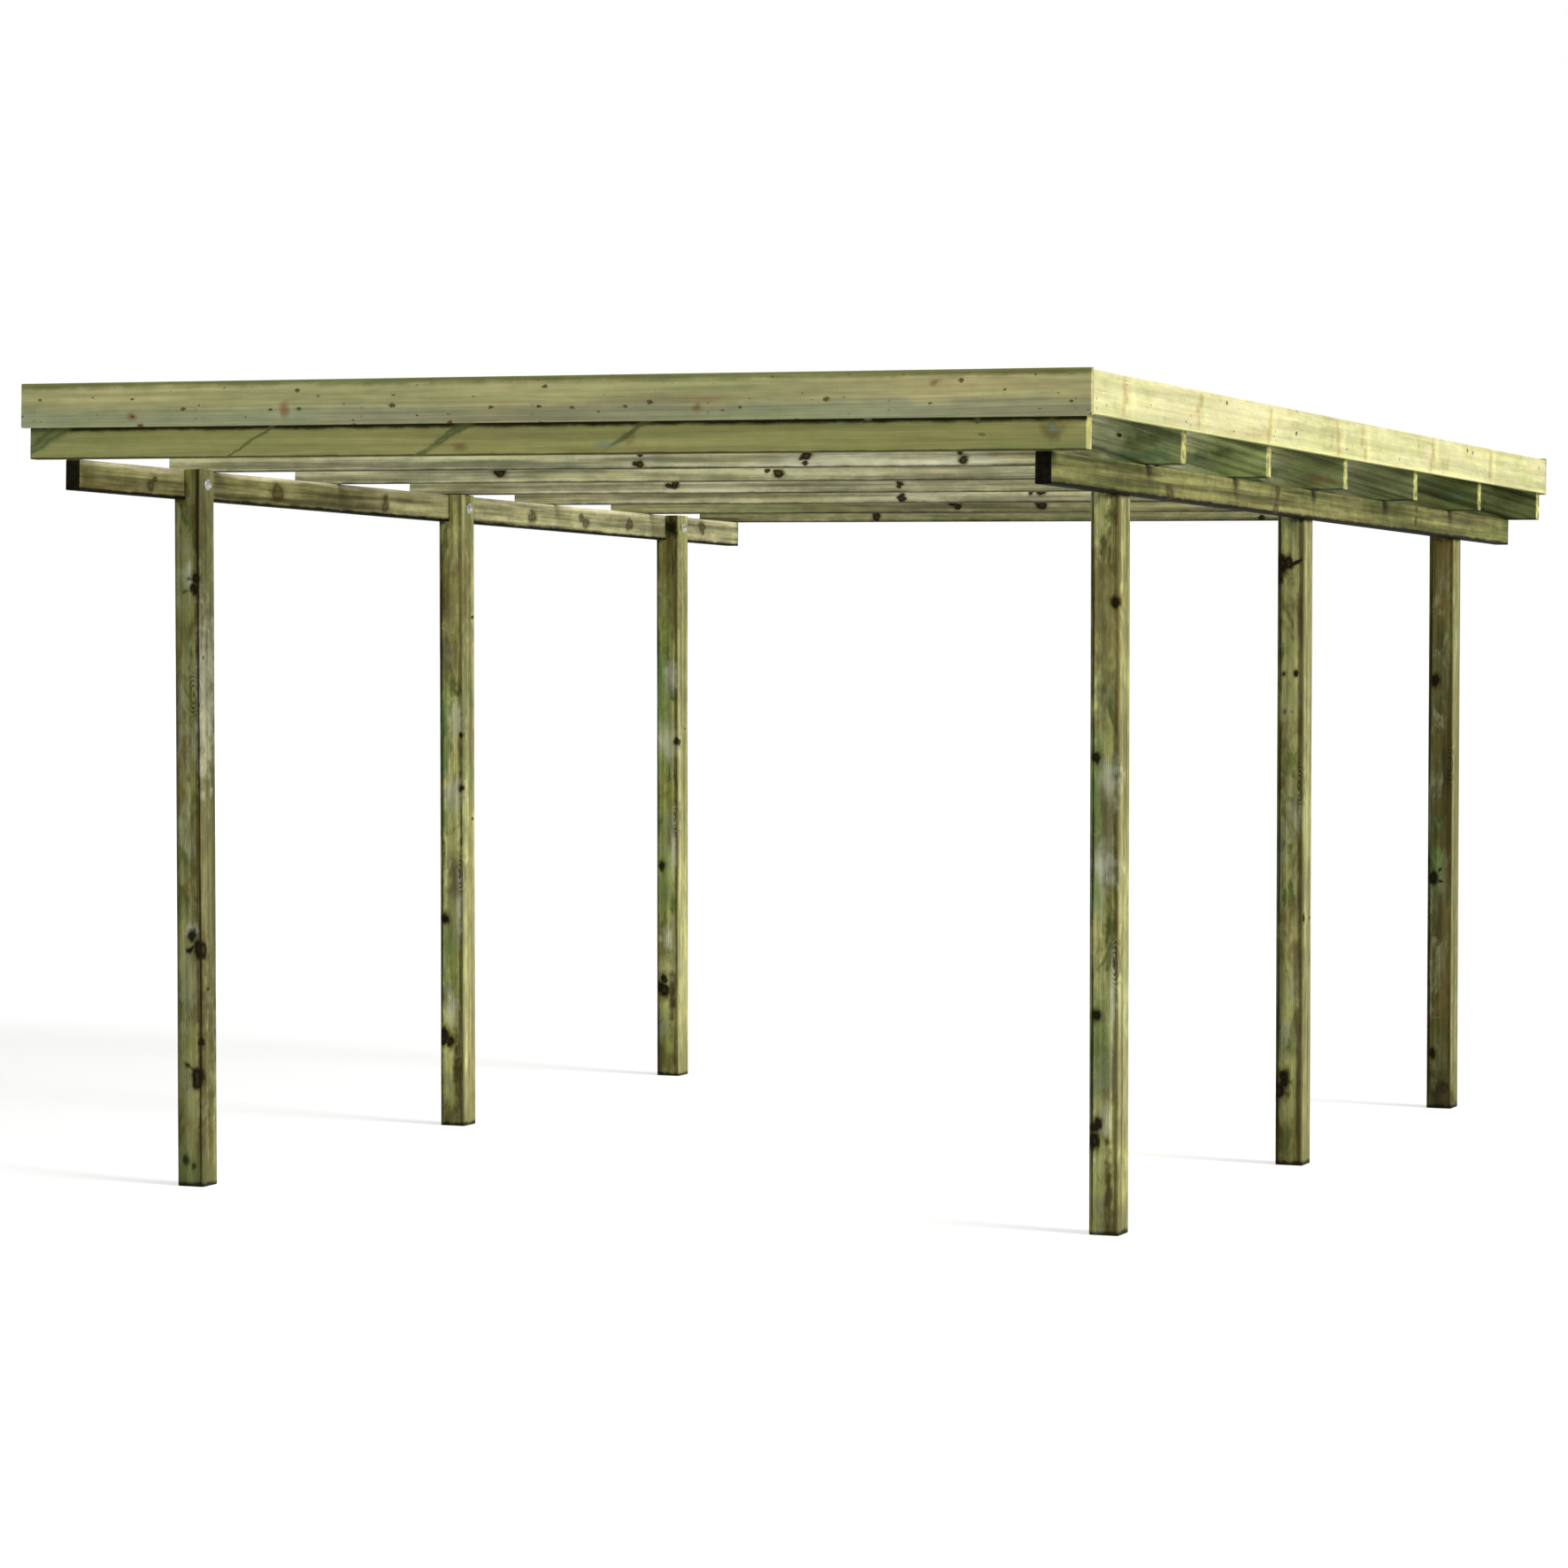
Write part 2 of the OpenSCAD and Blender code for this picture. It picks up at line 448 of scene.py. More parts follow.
    def shade(self, rings, contrast, drips, half, arris_highlight):
        """Light and dark of rings, fibres, streaks and stains, with a painted highlight that makes the
        arrises a little lighter.
        """
        factors = [self.steps(self.fibre, 0.25, 0.75, 0.92, 1.07),
                   self.steps(self.streak, 0.30, 0.70, 1 + 0.22 * contrast, 1 - 0.32 * contrast),
                   self.steps(self.mottle, 0.3, 0.7, 1 - 0.10 * contrast, 1 + 0.10 * contrast)]
        if drips:
            dripped = self.grain((9, 5, 5), detail=4, roughness=0.65)
            factors.append(self.steps(dripped, 0.36, 0.64, 1 - drips, 1 + 0.6 * drips))
        _, y, z = self.split(self.place)
        sides = self.plus(self.math("ABSOLUTE", y), self.math("ABSOLUTE", z))
        from_arris = self.minus(half[0] + half[1], sides)
        # Painted highlight along the arrises
        factors.append(self.steps(from_arris, 0.001, 0.007, 1 + arris_highlight, 1.0))
        ringed = self.times(self.late, self.lively)
        shade = self.math("MULTIPLY_ADD", ringed, -0.24 * rings, 1.0 + 0.07 * rings)
        for factor in factors:
            shade = self.times(shade, factor)
        self.shading = self.join(shade, shade, shade)
        self.colour = self.mix(1.0, self.colour, self.shading, "MULTIPLY")

    def show_branches(self, heart, knot_amount):
        """Branches: a brown heart with its own rings, and dark bark round it."""
        ring = self.math("FRACT", self.times(self.near, 3.0))
        inner = self.mix(self.steps(ring, 0.2, 0.9), heart[0], heart[1])
        self.lay(self.times(self.core, knot_amount), inner)
        self.lay(self.times(self.bark, 0.92 * knot_amount), heart[2])
        height = self.math("MULTIPLY_ADD", self.fibre, 0.55, self.times(self.late, 0.35))
        self.height = self.math("MULTIPLY_ADD", self.bark, -0.8, height)

    def show_pins(self, share):
        """Small knots that go straight through a board: a share of the cells has one, of its own size."""
        x, _, z = self.split(self.moved)
        flat = self.join(self.times(x, 13.0), self.times(z, 20.0))
        cells = self.node("ShaderNodeTexVoronoi", {"Vector": flat, "Scale": 1.0}, voronoi_dimensions="2D")
        chance, spare, _ = self.split(cells.outputs["Color"])
        size = self.math("MULTIPLY_ADD", self.times(spare, spare), 0.11, 0.025)
        size = self.times(self.math("GREATER_THAN", share, chance), size)
        ragged = self.spread(self.grain((130, 130, 130), detail=2), 0.24)
        away = self.minus(self.plus(cells.outputs["Distance"], ragged), size)
        pin = self.steps(away, 0.035, -0.035)
        self.lay(self.times(pin, 0.85), self.mix(chance, DARK_PIN, RED_PIN))

    def show_seams(self, seams):
        """Drying cracks and dark streaks that follow the grain. seams are (degrees round the pith, narrowest
        and widest half width)."""
        _, y, z = self.split(self.centred)
        turn = self.math("ARCTAN2", z, y)
        slow = self.grain((1.6, 0.0, 0.0), detail=4, roughness=0.6)
        full = self.grain((2.3, 0.0, 0.0), roughness=0.6)
        crack = 0.0
        for degrees, narrow, wide in seams:
            line = self.math("MULTIPLY_ADD", slow, 0.5, math.radians(degrees) - 0.25)
            off = self.times(self.math("ABSOLUTE", self.minus(turn, line)), self.radius)
            reach = self.steps(full, 0.36, 0.64, narrow, wide)
            inside = self.math("SUBTRACT", 1.0, self.math("DIVIDE", off, reach), clamp=True)
            crack = self.math("MAXIMUM", crack, inside)
        self.lay(self.steps(crack, 0.0, 0.7, 0.0, 0.85), CRACK)
        self.height = self.math("MULTIPLY_ADD", crack, -1.5, self.height)

    def show_ends(self, tone):
        """Tone of the sawn ends."""
        facing = self.math("ABSOLUTE", self.split(self.own["Normal"])[0])
        shaded = self.mix(1.0, tone, self.shading, "MULTIPLY")
        self.lay(self.steps(facing, 0.8, 0.95, 0.0, 0.97), shaded)

    def show_foot(self, tone):
        """A post's damp foot, with a dark line along its very bottom."""
        x = self.split(self.place)[0]
        wet = self.plus(x, self.spread(self.stain, 0.2))
        self.lay(self.steps(wet, 0.22, 0.0, 0.0, 0.45), tone)
        bottom_line = self.plus(x, self.spread(self.mottle, 0.03))
        self.lay(self.steps(bottom_line, 0.018, 0.006, 0.0, 0.9), SHADE_LINE)

    def finish(self):
        bump = self.node("ShaderNodeBump", {"Strength": 0.5, "Distance": 0.0012, "Height": self.height})
        rough = self.math("MULTIPLY_ADD", self.late, -0.3, self.fibre)
        self.put(self.shader.inputs["Normal"], bump.outputs[0])
        self.put(self.shader.inputs["Base Color"], self.colour)
        self.put(self.shader.inputs["Roughness"], self.steps(rough, 0.1, 0.9, 0.64, 0.88))
        self.shader.inputs["Specular IOR Level"].default_value = 0.04
        return self.material


def wood(name, seed, pith, half, palette, knots=(), spots=(), rings=1.0, contrast=1.0, pins=0.0, seams=(),
         bands=(), blots=(), tints=(), ends=None, foot=None, heart=None, knot_amount=0.92, arris_highlight=0.12,
         drips=0.0, sweep=None, swirl=None):
    """Material of one timber. half is half its section, palette its light, green and brown tone, blots are
    (colour, amount) of clouds all over it, and drips how strong the stains across the grain are."""
    g = Wood(name, seed, pith, sweep)
    g.find_branches(knots, spots)
    g.grow_rings(swirl)
    g.treat(palette, blots, knot_amount)
    g.lay_bands(bands)
    g.lay_tints(tints)
    g.lay(g.times(g.steps(g.near, 3.0, 1.0), 0.5 * knot_amount), palette[2])
    g.shade(rings, contrast, drips, half, arris_highlight)
    g.show_branches(heart or BROWN_HEART, knot_amount)
    if pins:
        g.show_pins(pins)
    if seams:
        g.show_seams(seams)
    if ends:
        g.show_ends(ends)
    if foot:
        g.show_foot(foot)
    return g.finish()


def dress(piece, material, node):
    """Gives a new timber its material and lets it stand for its CAD node."""
    piece.data.materials.append(material)
    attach(piece, "root")
    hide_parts(node)


# ---------------- branches and marks

def whorls(seed, first, last, count, small, large):
    """Branches in whorls: one to three at about the same place, then a gap. They point away from the face
    beside the pith."""
    draw = random.Random(seed)
    found = []
    step = (last - first) / count
    for i in range(count):
        at = first + step * (i + draw.uniform(0.2, 0.8))
        for _ in range(draw.choice((1, 2, 3))):
            found.append((at + draw.uniform(-0.02, 0.02), draw.uniform(35, 145), draw.uniform(small, large),
                          0.3, 1.0))
    return found


def clusters(seed, places, reach, size):
    """Round knots that go straight through a board, three close together at each place. reach is how far
    they lie from it, along and across."""
    draw = random.Random(seed)
    return [(at + draw.uniform(-1, 1) * reach[0], None, draw.uniform(-1, 1) * reach[1],
             size * draw.choice((0.5, 0.75, 1.0))) for at in places for _ in range(3)]


def forks(seed, places, degrees):
    """Branches that part from the pith as a V and lie in the face beside it, each a little different."""
    draw = random.Random(seed)
    found = []
    for at in places:
        for side in (1, -1):
            found.append((at + side * draw.uniform(0.0, 0.012), degrees + draw.uniform(-5, 5),
                          FORK_SIZE * draw.uniform(0.55, 1.15), side * FORK_SPREAD * draw.uniform(0.3, 1.5),
                          FORK_LENGTH * draw.uniform(0.55, 1.3)))
    return found


def mark(x, z, reach_x, reach_z, colour, amount):
    """A soft mark that goes straight through a board, for the tints of wood()."""
    return (x, 0.0, z), (reach_x, math.inf, reach_z), colour, amount


def front_marks(marks, front, depth, lift=0.0):
    """Tints of wood() for marks on a post's front face, which reach depth into it."""
    return [((lift + up, y, front), (reach_x, reach_y, depth), tint, amount)
            for up, y, reach_x, reach_y, tint, amount in marks]


def lighter(tone, factor):
    """A tone made lighter by a factor above 1, darker by one below."""
    return tuple(min(part * factor, 1.0) for part in tone[:3]) + (1.0,)


def toned(palette, factor):
    return tuple(lighter(tone, factor) for tone in palette)


# ---------------- tones of the treated wood

POST_TONES = (srgb(200, 200, 130), srgb(148, 155, 82), srgb(120, 104, 50))
POST_BLOTS = ((srgb(88, 108, 52), 0.85), (srgb(180, 182, 140), 0.8), (srgb(128, 106, 56), 0.6))
# Painted light: a lighter right face on the posts, lighter still on the inner faces of the left row
POST_RIGHT_FACE_PAINTED_LIGHT = {-1: srgb(178, 176, 122), 1: srgb(158, 156, 108)}
POST_STREAK = srgb(84, 66, 32)
POST_EDGE = srgb(84, 98, 54)
POST_END = srgb(150, 134, 90)
FOOT = srgb(96, 88, 52)
BEAM_TONES = (srgb(180, 173, 121), srgb(145, 141, 88), srgb(121, 100, 60))
BEAM_BACK = srgb(216, 212, 162)
# Painted sunlight: a pale band along the top of the left beam
BEAM_TOP_PAINTED_SUNLIGHT = srgb(248, 238, 196)
# Beam ends: darker end grain, with the shade under the rafter above painted in, nearly black
BEAM_END_GRAIN_SHADED = srgb(16, 14, 8)
# Painted shade: the right beam's tones are darker, for the shade of the roof's overhang
RIGHT_BEAM_SHADED_TONES = (srgb(128, 126, 78), srgb(100, 104, 58), srgb(80, 70, 38))
FRONT_RAFTER_TONES = (srgb(190, 188, 120), srgb(172, 180, 112), srgb(158, 146, 88))
RAFTER_TONES = (srgb(236, 232, 192), srgb(204, 202, 156), srgb(166, 152, 108))
BACK_RAFTER_TONES = (srgb(196, 192, 142), srgb(166, 165, 116), srgb(134, 122, 80))
RAFTER_STAINS = (srgb(102, 128, 92), srgb(136, 116, 72), srgb(74, 90, 54), srgb(102, 128, 92))
PALE_END = srgb(186, 184, 116)
RIM_TONES = (srgb(224, 212, 152), srgb(202, 202, 142), srgb(198, 172, 124))
RIM_RUST = srgb(164, 122, 88)
RIM_END = srgb(196, 188, 130)
SIDE_RIM_TONES = (srgb(220, 216, 164), srgb(206, 206, 148), srgb(204, 182, 128))
SIDE_RIM_BLOTS = ((srgb(188, 186, 126), 0.6), (srgb(222, 214, 170), 0.6))
SIDE_RIM_CREAM = srgb(232, 230, 166)
SIDE_RIM_TAN = srgb(190, 170, 108)
SIDE_RIM_EDGE = srgb(224, 224, 160)
SIDE_RIM_END = srgb(214, 206, 146)
MOSS = srgb(130, 138, 80)
SLATE = srgb(170, 182, 150)
TEAL = srgb(156, 172, 146)
DEEP_GREEN = srgb(120, 136, 74)
UMBER = srgb(128, 112, 64)
BARK = srgb(70, 54, 28)
GRASS = srgb(142, 170, 98)
MIST = srgb(236, 241, 208)
# Painted highlight: a pale streak along an arris
PAINTED_ARRIS_HIGHLIGHT = srgb(240, 236, 200)
# Near black, for painted shade under edges and where parts meet, and for dark marks
SHADE_LINE = srgb(26, 24, 14)
CRACK = srgb(42, 32, 16)
DARK_PIN = srgb(76, 48, 30)
RED_PIN = srgb(136, 74, 46)

# Branches: two tones of the heart, and that of the bark round it
BROWN_HEART = (srgb(84, 60, 34), srgb(40, 30, 18), srgb(22, 18, 10))
DARK_HEART = (srgb(58, 44, 26), srgb(30, 24, 14), srgb(16, 14, 8))
SOFT_HEART = (srgb(98, 78, 46), srgb(72, 58, 36), srgb(58, 46, 28))
GREEN_HEART = (srgb(112, 128, 84), srgb(104, 122, 76), srgb(92, 108, 62))

# ---------------- posts

# Each post's heights of forked knots, (height, side offset, radius) of round ones on the front face, the side
# from which the forks come, how light it is, how much painted light its right face gets, and the height of
# its ring swirl
POSTS = {
    "post_front_left": (
        (0.34, 0.75, 1.84), ((0.44, 0.038, 0.008), (0.08, -0.015, 0.008), (0.06, 0.015, 0.006),
                             (1.24, 0.0, 0.005)), 1, 0.8, 0.68, 1.5),
    "post_middle_left": (
        (0.31,), ((0.70, -0.024, 0.010), (1.32, 0.036, 0.006), (1.14, 0.036, 0.006)), -1, 1.73, 1.3, 0.85),
    "post_back_left": ((0.34,), ((0.78, -0.024, 0.010), (1.24, 0.036, 0.008)), -1, 1.5, 1.85, 0.96),
    "post_front_right": (
        (0.29,), ((1.35, -0.028, 0.010), (0.62, -0.024, 0.010), (1.79, 0.03, 0.010)), -1, 1.4, 0.95, 0.77),
    "post_middle_right": (
        (1.87, 0.25), ((1.55, -0.02, 0.005), (1.55, 0.018, 0.006), (1.43, -0.016, 0.004),
                       (1.43, 0.004, 0.004), (0.78, 0.042, 0.005)), -1, 0.95, 1.0, 1.2),
    "post_back_right": (
        (0.81,), ((1.49, -0.022, 0.010), (0.19, -0.025, 0.009), (0.07, 0.02, 0.012)), -1, 0.33, 0.9, 1.2),
}

# Clouds on the front faces of the weathered posts: height above the swirl, side offset, reach up and
# sideways, colour and amount
WEATHERED = ("post_middle_left", "post_back_left", "post_front_right")
CLOUDS = ((0.95, 0.0, 0.33, 0.096, UMBER, 0.6), (0.55, -0.03, 0.15, 0.0352, GRASS, 0.85),
          (0.52, 0.015, 0.09, 0.04, MIST, 0.65), (0.40, -0.025, 0.12, 0.032, GRASS, 0.85),
          (0.27, 0.0, 0.09, 0.056, MIST, 0.7), (0.20, -0.03, 0.075, 0.032, GRASS, 0.8),
          (-0.10, 0.025, 0.18, 0.016, MIST, 0.6), (-0.22, -0.015, 0.21, 0.048, GRASS, 0.7),
          (-0.45, 0.0, 0.075, 0.032, MIST, 0.6), (-0.66, 0.017, 0.195, 0.0208, BARK, 0.9))
CLOUD_DEPTH = 0.08

# Marks on the front faces of single posts: height, side offset, reach up and sideways, colour and amount
MARKS = {
    # On the front left post, the pale streak up its right arris is a painted highlight
    "post_front_left": (
        (1.5, 0.045, 0.364, 0.0224, PAINTED_ARRIS_HIGHLIGHT, 0.85), (0.40, 0.045, 0.476, 0.0224, BARK, 0.7),
        (1.86, 0.0, 0.056, 0.0288, MIST, 0.7), (0.78, 0.01, 0.042, 0.0288, MIST, 0.8),
        (0.06, 0.0, 0.084, 0.064, GRASS, 0.8)),
    # The back left post's dark mark at its head is painted shade on the front of its tongue
    "post_back_left": ((2.03, 0.01, 0.056, 0.048, SHADE_LINE, 0.9),),
    "post_middle_right": (
        (1.87, -0.04, 0.028, 0.032, DARK_PIN, 0.9), (0.25, -0.02, 0.042, 0.056, DARK_PIN, 0.7),
        (0.06, -0.04, 0.14, 0.0256, DARK_PIN, 0.9)),
    "post_back_right": (
        (2.0, 0.0, 0.49, 0.064, UMBER, 0.8), (0.84, -0.02, 0.084, 0.048, GRASS, 0.9),
        (0.45, 0.02, 0.35, 0.032, UMBER, 0.8), (0.85, -0.045, 0.084, 0.0256, SHADE_LINE, 0.95),
        (0.50, -0.048, 0.364, 0.0128, SHADE_LINE, 0.9), (0.02, 0.0, 0.154, 0.08, SHADE_LINE, 0.95)),
}
MARK_DEPTH = 0.15

# How far a post's pith and swirl lie beside its middle, and its pith and knots behind its front face
PITH_BESIDE = 0.03
PITH_BEHIND = 0.008
SWIRL_BESIDE = 0.024
KNOT_BEHIND = 0.006


def beam_seat(side, centre):
    """Height at which a beam lies on the post whose middle is centre, and how far beside that middle the
    beam's inner face is."""
    node = "beam_left" if side < 0 else "beam_right"
    beam, size = middle(node), roof_size(node)
    seat = beam.z - (centre.y - beam.y) * math.tan(FALL) - size.z / 2 / math.cos(FALL)
    return seat, side * (abs(beam.x) - size.x / 2) - centre.x


def post_tints(node, side, half, seat, swirl):
    """Clouds and marks on a post's front face, and the shade below its beam, along the shoulder."""
    tints = front_marks(CLOUDS, -half.y, CLOUD_DEPTH, swirl) if node in WEATHERED else []
    tints += front_marks(MARKS.get(node, ()), -half.y, MARK_DEPTH)
    beside = 0.04 if side < 0 else 0.09
    tints.append(((seat, side * half.x, 0.0), (0.016, beside, 0.2), SHADE_LINE, 0.9))
    return tints


def post_wood(node, seed, side, half, seat, top):
    forked, round_knots, knot_side, tone, right_face_painted_light, swirl = POSTS[node]
    draw = random.Random(seed)
    knots = forks(seed, forked, 90 + 90 * knot_side)
    knots += whorls(seed, 0.3, top - 0.1, 3, 0.005, 0.008)
    face = -half.y + KNOT_BEHIND
    spots = [(x, y, face, size) for x, y, size in round_knots]
    spots += [(x + draw.uniform(-0.03, 0.03), knot_side * draw.uniform(0.008, 0.040), face,
               draw.uniform(0.008, 0.015)) for x in forked for _ in range(3)]
    seams = [(-90 + 45 * knot_side + draw.uniform(-10, 10), 0.0008, 0.006),
             (draw.uniform(100, 170), 0.0005, 0.003)]
    # A brown streak, a green left edge, and painted light on the right face
    bands = [(1, half.x * 0.8, half.x * 0.3, POST_STREAK, 0.75, 0.1),
             (1, -half.x, half.x * 0.35, POST_EDGE, 0.6, 0.4),
             (1, half.x, 0.008, lighter(POST_RIGHT_FACE_PAINTED_LIGHT[side], right_face_painted_light), 0.6, 1.0)]
    return wood(f"{node}_wood", seed, (knot_side * PITH_BESIDE, -half.y + PITH_BEHIND), half,
                toned(POST_TONES, tone), knots, spots, contrast=1.3, seams=seams, bands=bands,
                blots=POST_BLOTS, tints=post_tints(node, side, half, seat, swirl), ends=POST_END,
                foot=FOOT, heart=DARK_HEART, swirl=(swirl, SWIRL_BESIDE))


def make_posts():
    upright = (Vector((0, 0, 1)), Vector((1, 0, 0)), Vector((0, 1, 0)))
    slope = math.tan(FALL)
    for number, node in enumerate(POSTS):
        side = SIDES[node.split("_")[2]]
        seed = POST_SEED + number
        low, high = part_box(node)
        half = Vector((high.x - low.x, high.y - low.y)) / 2
        centre = Vector(((low.x + high.x) / 2, (low.y + high.y) / 2, 0))
        seat, shoulder = beam_seat(side, centre)
        top = high.z - half.y * slope
        whole = (-half.x, half.x, -half.y, half.y)
        tongue = (-half.x, shoulder, -half.y, half.y) if side > 0 else (shoulder, half.x, -half.y, half.y)
        piece = timber(f"{node}_timber", axes(*upright, centre), [(0.0, seat, whole), (seat, top, tongue)],
                       POST_ROUND, seed, slope=slope)
        dress(piece, post_wood(node, seed, side, half, seat, top), node)


# ---------------- beams and rafters

# Each beam's tones, places of its knots, how far they lie from there along and across, and its stains.
# The right beam's darker tones are painted shade of the roof's overhang.
BEAM_LOOKS = {"left": (BEAM_TONES, (-2.02, -1.23, -0.49, 0.61, 1.05, 1.44, 2.1), (0.025, 0.016), 0.10),
              "right": (RIGHT_BEAM_SHADED_TONES, (-1.44, -0.39, 1.21), (0.012, 0.035), 0.11)}


def make_beams():
    for number, (side_name, (tones, places, reach, drips)) in enumerate(BEAM_LOOKS.items()):
        node = f"beam_{side_name}"
        seed = BEAM_SEED + number
        piece, half = roof_board(node, "timber", True, TIMBER_ROUND, seed)
        # Painted shade: a dark line along each beam's underside
        bands = [(2, -half[1], 0.014, SHADE_LINE, 1.0, 1.0)]
        if side_name == "left":
            length = roof_size(node).y
            # The left beam gets lighter towards its back end, and a band of painted sunlight along its top
            bands = [(0, length / 2, length * 0.8, BEAM_BACK, 0.8, 1.0),
                     (2, half[1], 0.020, BEAM_TOP_PAINTED_SUNLIGHT, 0.85, 0.3)] + bands
        # Nearly black ends with painted shade, and a painted highlight on the arrises
        material = wood(f"{node}_wood", seed, (-half[0] + 0.004, -half[1] - 0.005), half, tones,
                        spots=clusters(seed, places, reach, 0.014), contrast=1.9, arris_highlight=0.3,
                        ends=BEAM_END_GRAIN_SHADED, bands=bands, drips=drips, heart=SOFT_HEART, knot_amount=0.6)
        dress(piece, material, node)


# Front rafter: slanting streaks (place along it, radius), small round knots, and marks (place along and up,
# reach along and up, colour, amount)
FRONT_STREAKS = ((-1.59, 0.012), (-0.89, 0.003), (-0.28, 0.008), (0.28, 0.006))
FRONT_SPOTS = ((1.32, None, 0.008, 0.004), (1.325, None, -0.028, 0.003), (1.335, None, -0.030, 0.003))
FRONT_MARKS = ((-0.23, -0.05, 0.03, 0.022, srgb(150, 112, 74), 0.7), (0.22, -0.045, 0.05, 0.014, TEAL, 0.8),
               (0.29, -0.03, 0.03, 0.03, srgb(146, 120, 82), 0.5), (1.0, 0.018, 0.016, 0.010, TEAL, 0.8),
               (1.53, -0.02, 0.045, 0.045, srgb(124, 116, 72), 0.8), (1.535, -0.012, 0.024, 0.014, TEAL, 0.9),
               (-1.6, 0.0, 0.05, 0.05, srgb(120, 138, 90), 0.7))

# The other rafters, from the second on: places of the knots in front, tones, how light these and the green
# right end are, and the contrast
RAFTER_LOOKS = {1: ((-0.05, 0.48, 0.97), RAFTER_TONES, 1.4, 1.06, 1.8),
                2: ((0.04, -0.9, 1.3), RAFTER_TONES, 1.22, 1.32, 1.8),
                3: ((0.15, -0.66), RAFTER_TONES, 1.2, 0.95, 1.8),
                4: ((-0.16, 0.32, 1.2), RAFTER_TONES, 1.1, 0.76, 1.8),
                5: ((0.03, -0.27), BACK_RAFTER_TONES, 1.05, 0.66, 1.8),
                6: ((-0.9, 0.6), BACK_RAFTER_TONES, 0.85, 0.5, 2.3)}
SECOND_RAFTER_SPOT = (1.44, None, 0.01, 0.004)


def make_front_rafter():
    node = RAFTERS[0]
    piece, half = roof_board(node, "timber", False, TIMBER_ROUND, RAFTER_SEED)
    under_rim = middle("rim_front").dot(ROOF_UP) - roof_size("rim_front").z / 2 - middle(node).dot(ROOF_UP)
    streaks = [(x - 0.13, 90, size, 1.6, 0.25) for x, size in FRONT_STREAKS]
    # Painted shade: dark lines on the rafter just below the rim and along its bottom edge
    bands = [(2, under_rim, 0.017, SHADE_LINE, 0.95, 1.0), (2, -half[1], 0.007, SHADE_LINE, 0.8, 1.0)]
    material = wood(f"{node}_wood", RAFTER_SEED, (-half[0] + 0.002, -half[1] - 0.03), half,
                    FRONT_RAFTER_TONES, streaks, FRONT_SPOTS, rings=0.6, contrast=0.6, bands=bands,
                    ends=PALE_END, tints=[mark(*entry) for entry in FRONT_MARKS], heart=GREEN_HEART,
                    knot_amount=0.6)
    dress(piece, material, node)


def make_rafters():
    green_from = middle("beam_right").x + 0.13
    for number, (places, tones, tone, green_tone, contrast) in RAFTER_LOOKS.items():
        node = RAFTERS[number]
        seed = RAFTER_SEED + number
        piece, half = roof_board(node, "timber", False, TIMBER_ROUND, seed)
        spots = [(x, y, z - 0.045, size) for x, y, z, size in clusters(seed, places, (0.02, 0.016), 0.009)]
        if number == 1:
            spots.append(SECOND_RAFTER_SPOT)
        draw = random.Random(seed)
        tints = [mark(draw.uniform(1.25, 1.6), draw.uniform(-0.05, 0.02), 0.07, 0.03, tint, 0.7)
                 for tint in RAFTER_STAINS]
        # A deep green right end, and a painted shade line along the bottom edge
        bands = [(0, green_from, 0.4, lighter(DEEP_GREEN, green_tone), 0.85, 1.0),
                 (2, -half[1], 0.006, SHADE_LINE, 0.8, 1.0)]
        material = wood(f"{node}_wood", seed, (-half[0] + 0.003, -half[1] - 0.004), half, toned(tones, tone),
                        spots=spots, contrast=contrast, bands=bands, tints=tints, ends=PALE_END,
                        sweep=(1.2, 0.3))
        dress(piece, material, node)


# ---------------- rim

# Rust-brown marks on the end rims (place along and up, reach up), and the cross marks on the side rims
END_RIM_MARKS = ((-0.78, -0.02, 0.034), (-1.28, -0.035, 0.016), (0.5, -0.03, 0.026), (1.2, 0.03, 0.016))
SIDE_RIM_MARKS = (-2.21, -1.56, -0.89, -0.15, 0.13, 0.95, 1.7)


def make_end_rims():
    for number, end in enumerate(("front", "back")):
        node = f"rim_{end}"
        seed = END_RIM_SEED + number
        piece, half = roof_board(node, "board", False, BOARD_ROUND, seed)
        tints = [mark(x, z, 0.024, reach, RIM_RUST, 0.8) for x, z, reach in END_RIM_MARKS]
        bands = [(2, half[1], half[1] * 0.4, MOSS, 0.8, 0.8),
                 (2, -half[1] * 0.75, half[1] * 0.75, SLATE, 0.6, 0.4)]
        material = wood(f"{node}_wood", seed, (0.06, 0.02), half, RIM_TONES, rings=0.5, contrast=0.7,
                        pins=0.55, bands=bands, tints=tints, ends=RIM_END)
        dress(piece, material, node)


def side_rim_tints(seed):
    draw = random.Random(seed)
    tints = []
    for at in SIDE_RIM_MARKS:
        tints.append(mark(at + 0.06, 0.0, 0.04, 0.09, SIDE_RIM_CREAM, 0.7))
        for up in (-0.035, 0.0, 0.035):
            tints.append(mark(at + draw.uniform(-0.025, 0.025), up, 0.03, 0.03, SIDE_RIM_TAN, 0.7))
    return tints


def make_side_rims():
    for number, (side_name, side) in enumerate(SIDES.items()):
        node = f"rim_{side_name}"
        seed = SIDE_RIM_SEED + number
        piece, half = roof_board(node, "board", True, BOARD_ROUND, seed)
        bands = [(2, -half[1], half[1] * 0.3, SIDE_RIM_EDGE, 0.7, 1.0)]
        material = wood(f"{node}_wood", seed, (-side * 0.008, -half[1] - 0.02), half, SIDE_RIM_TONES,
                        rings=0.4, contrast=0.6, pins=0.18, bands=bands, blots=SIDE_RIM_BLOTS,
                        tints=side_rim_tints(seed), ends=SIDE_RIM_END)
        dress(piece, material, node)


# ---------------- sheets and fixings

